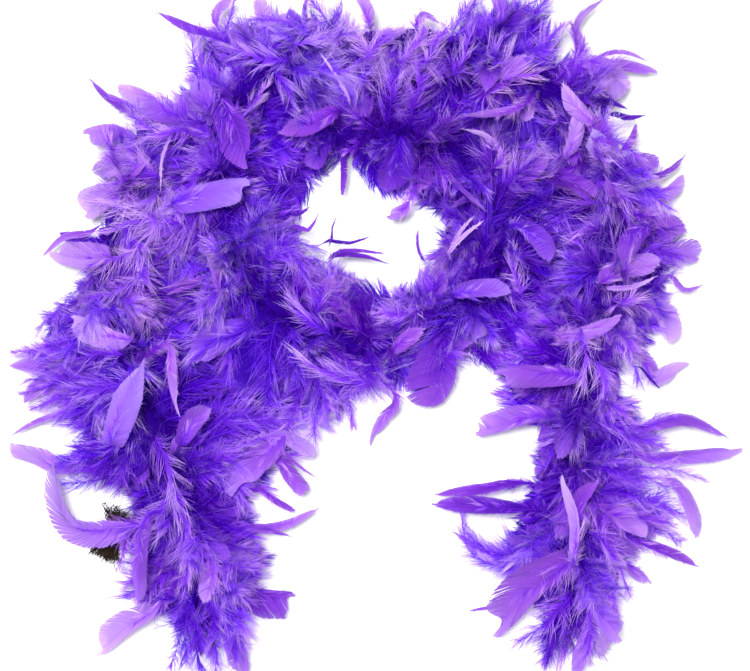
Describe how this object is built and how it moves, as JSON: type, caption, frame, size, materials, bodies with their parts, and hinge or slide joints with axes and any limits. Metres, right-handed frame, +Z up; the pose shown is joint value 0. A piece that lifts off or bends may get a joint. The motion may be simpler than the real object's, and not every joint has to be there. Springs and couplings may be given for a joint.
{
  "type": "feather boa",
  "caption": "Fluffy violet feather boa laid flat in a ring of two overlapping turns with both tails to the front; plumage sections on a core cord, tails that swing and tips that lift.",
  "frame": {"origin": "centre of the boa's bounding box, on the table it lies on", "axes": "+Z up from the table; +Y away from the tails; +X from the left tail towards the right tail"},
  "size_m": [0.5527, 0.529, 0.078],
  "materials": {
    "plumage": "downy dyed turkey feather, dense and matt, bluish violet",
    "long_feather": "smooth flat feather vane, slightly see-through, lilac with a soft sheen",
    "long_feather_pink": "smooth flat feather vane, pinkish lilac with a soft sheen",
    "core_cord": "dark violet twisted cotton cord",
    "thread": "dark violet binding thread, matt",
    "yarn_tuft": "coarse frayed dark olive-brown yarn"
  },
  "bodies": {
    "ring": {"long_feather_06": "long_feather", "long_feather_07": "long_feather_pink", "long_feather_08": "long_feather", "long_feather_09": "long_feather", "long_feather_10": "long_feather_pink", "long_feather_11": "long_feather", "long_feather_12": "long_feather", "long_feather_13": "long_feather_pink", "long_feather_14": "long_feather", "long_feather_15": "long_feather", "long_feather_19": "long_feather_pink", "ring_core_cord": "core_cord", "ring_plumage_01": "plumage", "ring_plumage_02": "plumage", "ring_plumage_03": "plumage", "ring_plumage_04": "plumage", "ring_plumage_05": "plumage", "ring_plumage_06": "plumage", "ring_plumage_07": "plumage", "ring_plumage_08": "plumage", "ring_plumage_09": "plumage", "ring_plumage_10": "plumage", "ring_plumage_11": "plumage", "ring_plumage_12": "plumage", "ring_plumage_13": "plumage", "ring_plumage_14": "plumage", "ring_plumage_15": "plumage", "ring_plumage_16": "plumage", "ring_plumage_17": "plumage", "ring_plumage_18": "plumage", "ring_plumage_19": "plumage", "ring_plumage_20": "plumage", "ring_plumage_21": "plumage", "ring_plumage_22": "plumage"},
    "left_tail": {"left_tail_core_cord": "core_cord", "left_tail_plumage": "plumage", "long_feather_05": "long_feather"},
    "left_tip": {"left_end_knot": "thread", "left_frayed_end": "thread", "left_tip_core_cord": "core_cord", "left_tip_plumage_1": "plumage", "left_tip_plumage_2": "plumage", "left_whipping": "thread", "long_feather_01": "long_feather_pink", "long_feather_02": "long_feather", "long_feather_03": "long_feather", "long_feather_04": "long_feather_pink", "yarn_tuft": "yarn_tuft"},
    "right_tail": {"long_feather_16": "long_feather_pink", "right_tail_core_cord": "core_cord", "right_tail_plumage": "plumage"},
    "right_tip": {"long_feather_17": "long_feather", "long_feather_18": "long_feather", "right_end_knot": "thread", "right_frayed_end": "thread", "right_tip_core_cord": "core_cord", "right_tip_plumage_1": "plumage", "right_tip_plumage_2": "plumage", "right_whipping": "thread"}
  },
  "joints": [
    {"name": "left_tail_swing", "type": "hinge", "parent": "ring", "child": "left_tail", "pos_m": [-0.1821, -0.0417, 0.024], "axis": [0, 0, 1], "range_deg": [-25, 25]},
    {"name": "left_tip_lift", "type": "hinge", "parent": "left_tail", "child": "left_tip", "pos_m": [-0.1528, -0.0981, 0.024], "axis": [-0.914, -0.4056, 0], "range_deg": [0, 38]},
    {"name": "right_tail_swing", "type": "hinge", "parent": "ring", "child": "right_tail", "pos_m": [0.1656, -0.0326, 0.024], "axis": [0, 0, 1], "range_deg": [-25, 25]},
    {"name": "right_tip_lift", "type": "hinge", "parent": "right_tail", "child": "right_tip", "pos_m": [0.1545, -0.0949, 0.024], "axis": [-0.9996, 0.0268, 0], "range_deg": [0, 38]}
  ]
}
